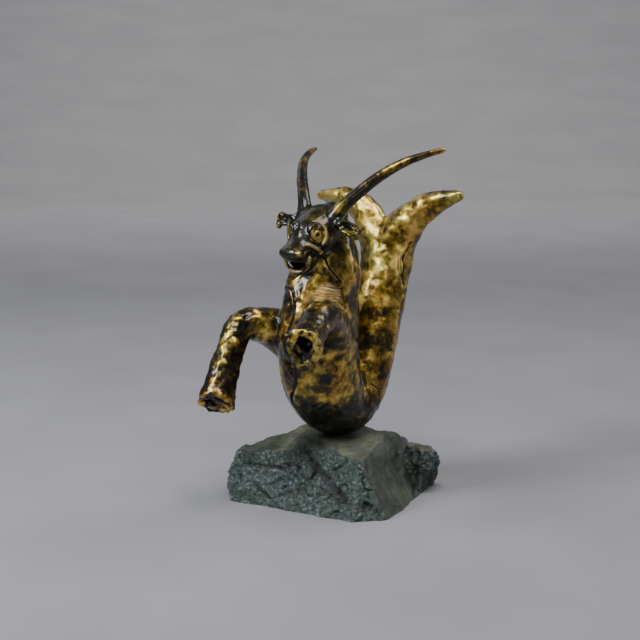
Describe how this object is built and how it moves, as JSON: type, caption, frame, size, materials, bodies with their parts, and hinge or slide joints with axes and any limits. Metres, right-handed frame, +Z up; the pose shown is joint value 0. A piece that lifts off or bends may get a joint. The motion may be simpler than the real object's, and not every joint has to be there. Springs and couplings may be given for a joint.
{
  "type": "bronze capricorn sculpture",
  "caption": "Cast bronze sea-goat with curved horns, open-ended forelegs and a forked fish tail, standing on a rough stone block as a shelf ornament.",
  "frame": {"origin": "on the stone's flat underside, straight below the flat that the figure's belly rests on", "axes": "+Z up; the figure faces -Y with its left side at +X and its tail at +Y"},
  "size_m": [0.1649, 0.2062, 0.2985],
  "materials": {
    "patinated_bronze": "dark brown and green patina, rubbed to gold on the high spots, varnished",
    "green_serpentine": "split, matt, grey-green"
  },
  "bodies": {
    "root": {"bronze_capricorn": "patinated_bronze", "stone_base": "green_serpentine"}
  },
  "joints": []
}
